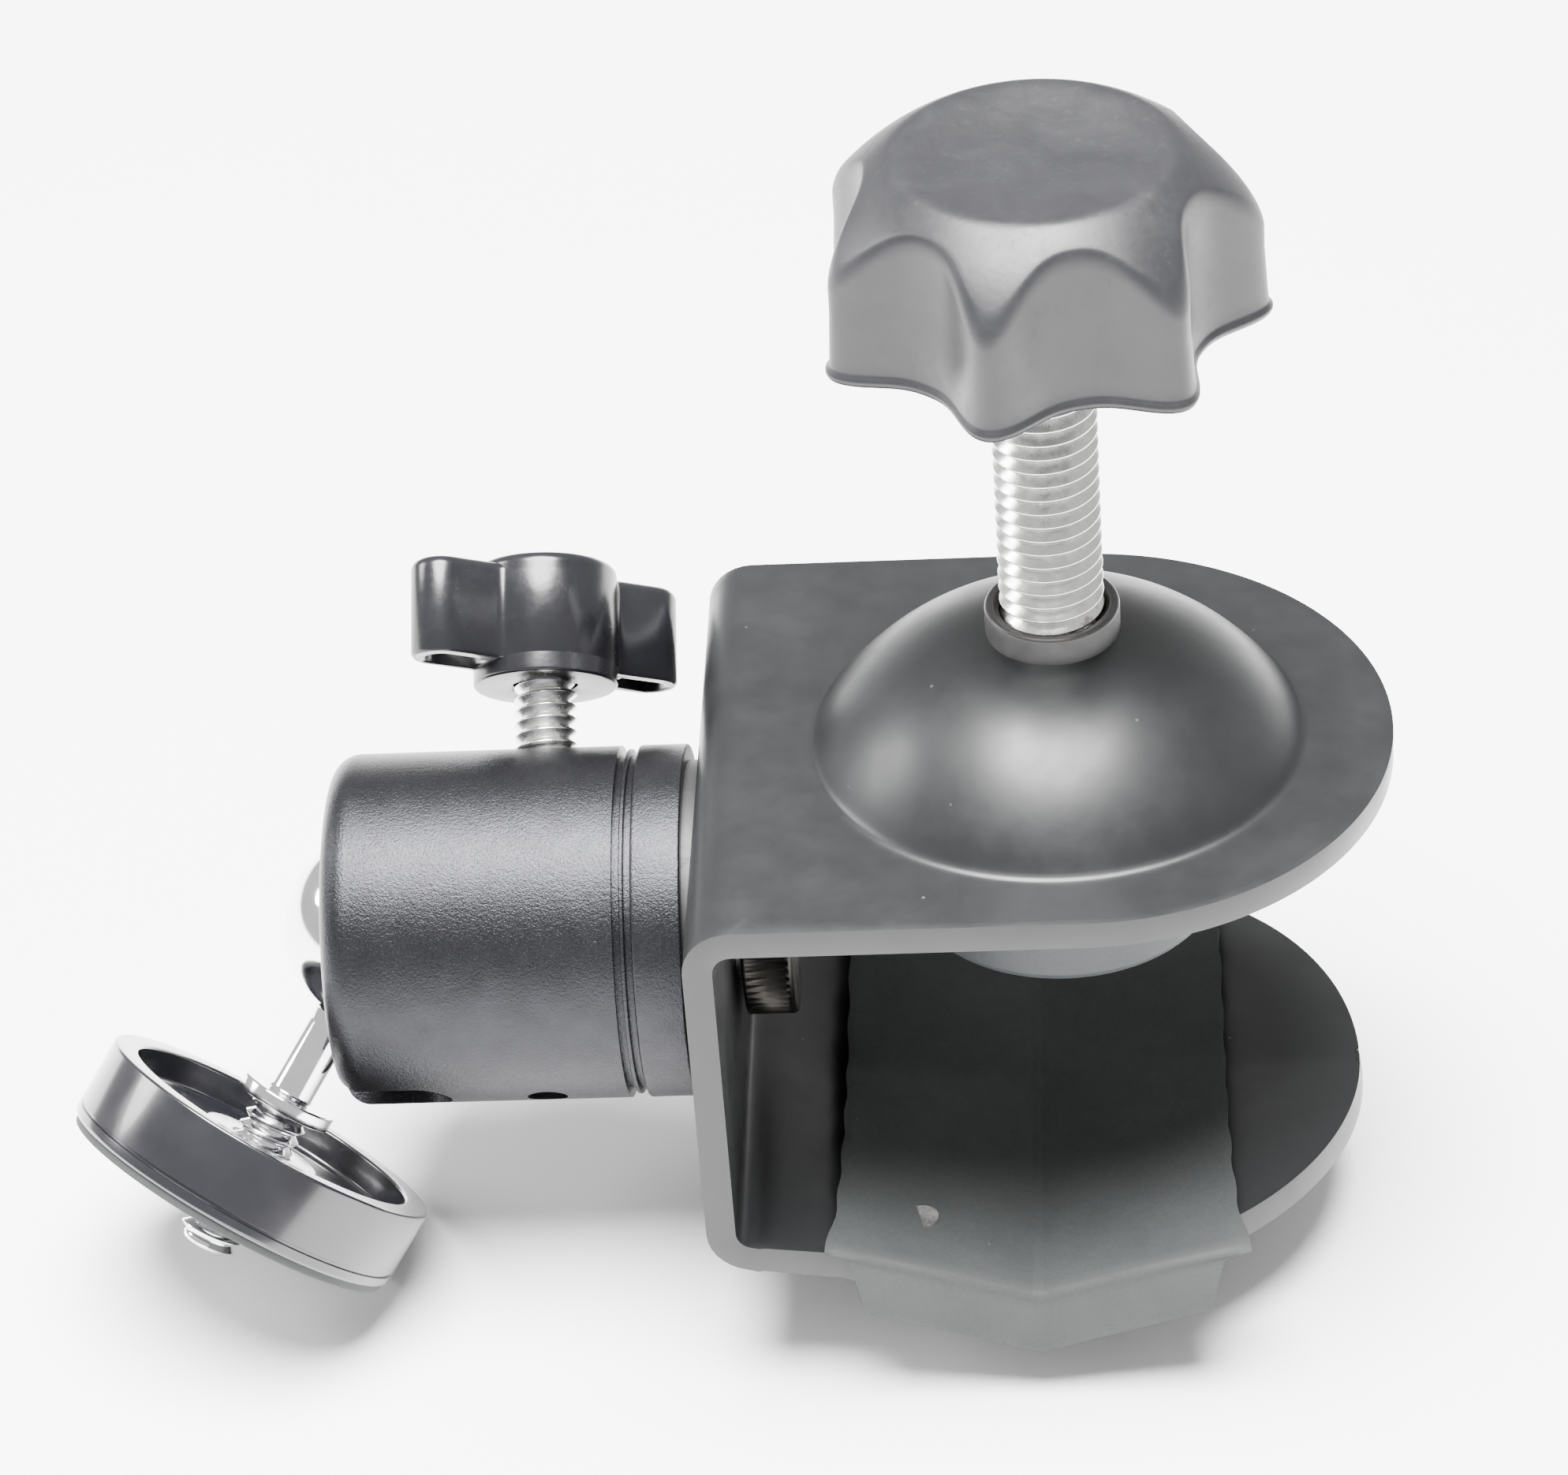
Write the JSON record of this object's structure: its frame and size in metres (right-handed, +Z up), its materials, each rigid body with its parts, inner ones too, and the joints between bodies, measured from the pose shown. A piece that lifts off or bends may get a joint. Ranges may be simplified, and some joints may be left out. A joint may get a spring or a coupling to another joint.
{
  "type": "super clamp",
  "caption": "Screw clamp with a bent steel U bracket, rubber faced jaws, a lobed hand knob, and a small lockable ball head with a camera platform on its back.",
  "frame": {"origin": "the point where the clamp screw's axis meets the lower jaw pad, which is where a gripped pipe lies", "axes": "+Z up the clamp screw toward its knob, -X out along the ball head, -Y toward the user"},
  "size_m": [0.1303, 0.0661, 0.1198],
  "materials": {
    "bracket_paint": "satin black enamel on sheet steel",
    "collar_oxide": "black painted steel",
    "rubber": "matte moulded rubber",
    "foot_rubber": "matte moulded rubber",
    "zinc": "bright zinc plate",
    "black_oxide": "black oxide",
    "spring_steel": "plain steel",
    "washer_black": "black fibre",
    "knob_plastic": "semi-matte moulded plastic",
    "lock_plastic": "gloss moulded plastic",
    "anodised": "bead-blasted black anodised",
    "brass": "turned",
    "nylon": "natural nylon",
    "chrome": "bright chrome plate",
    "disc_gloss": "gloss black anodised",
    "insert_nickel": "nickel plate"
  },
  "bodies": {
    "clamp": {"bracket": "bracket_paint", "screw_bushing": "collar_oxide", "jaw_pad": "rubber", "pad_rivets": "zinc", "head_fixing_screw": "black_oxide", "spring_washer": "spring_steel", "spacer_washer": "washer_black"},
    "foot": {"foot_cup": "spring_steel", "foot_rubber": "foot_rubber", "foot_snap_ring": "spring_steel"},
    "screw": {"clamp_screw": "zinc", "clamp_knob": "knob_plastic"},
    "head": {"head_base": "anodised", "housing": "anodised"},
    "plunger": {"plunger": "brass"},
    "lock_tip": {"lock_tip": "brass"},
    "lock": {"lock_screw": "zinc", "lock_knob": "lock_plastic"},
    "seat": {"ball_seat": "nylon"},
    "stem": {"ball_stem": "chrome"},
    "platform": {"platform_disc": "disc_gloss", "disc_insert": "insert_nickel", "platform_pad": "rubber"}
  },
  "joints": [
    {"name": "jaw_travel", "type": "slide", "parent": "clamp", "child": "foot", "axis": [0, 0, 1], "range_m": [-0.018, 0.009]},
    {"name": "screw_turn", "type": "hinge", "parent": "foot", "child": "screw", "pos_m": [0, 0, 0.06], "axis": [0, 0, 1], "range_deg": [-4325, 2165]},
    {"name": "head_pan", "type": "hinge", "parent": "clamp", "child": "head", "pos_m": [-0.04, 0, 0.0204], "axis": [1, 0, 0], "continuous": true},
    {"name": "lock_travel", "type": "slide", "parent": "head", "child": "lock_tip", "axis": [0, 0.766, 0.6428], "range_m": [0, 0.00254]},
    {"name": "lock_turn", "type": "hinge", "parent": "lock_tip", "child": "lock", "pos_m": [-0.051, 0, 0.0204], "axis": [0, 0.766, 0.6428], "range_deg": [0, 721]},
    {"name": "plunger_travel", "type": "slide", "parent": "head", "child": "plunger", "axis": [1, 0, 0], "range_m": [0, 0.00041]},
    {"name": "ball_swing", "type": "hinge", "parent": "head", "child": "seat", "pos_m": [-0.067, 0, 0.0204], "axis": [1, 0, 0], "range_deg": [-95, 95]},
    {"name": "ball_tilt", "type": "hinge", "parent": "seat", "child": "stem", "pos_m": [-0.067, 0, 0.0204], "axis": [0, 0.8192, -0.5736], "range_deg": [-1.5, 103]},
    {"name": "disc_turn", "type": "hinge", "parent": "stem", "child": "platform", "pos_m": [-0.067, 0, 0.0204], "axis": [-0.5299, -0.4864, -0.6947], "continuous": true}
  ],
  "couplings": [
    {"joint": "screw_turn", "follows": "jaw_travel", "rad_per_m": 4188.8},
    {"joint": "lock_turn", "follows": "lock_travel", "rad_per_m": 4947.4},
    {"joint": "plunger_travel", "follows": "lock_travel", "ratio": 0.15733}
  ]
}
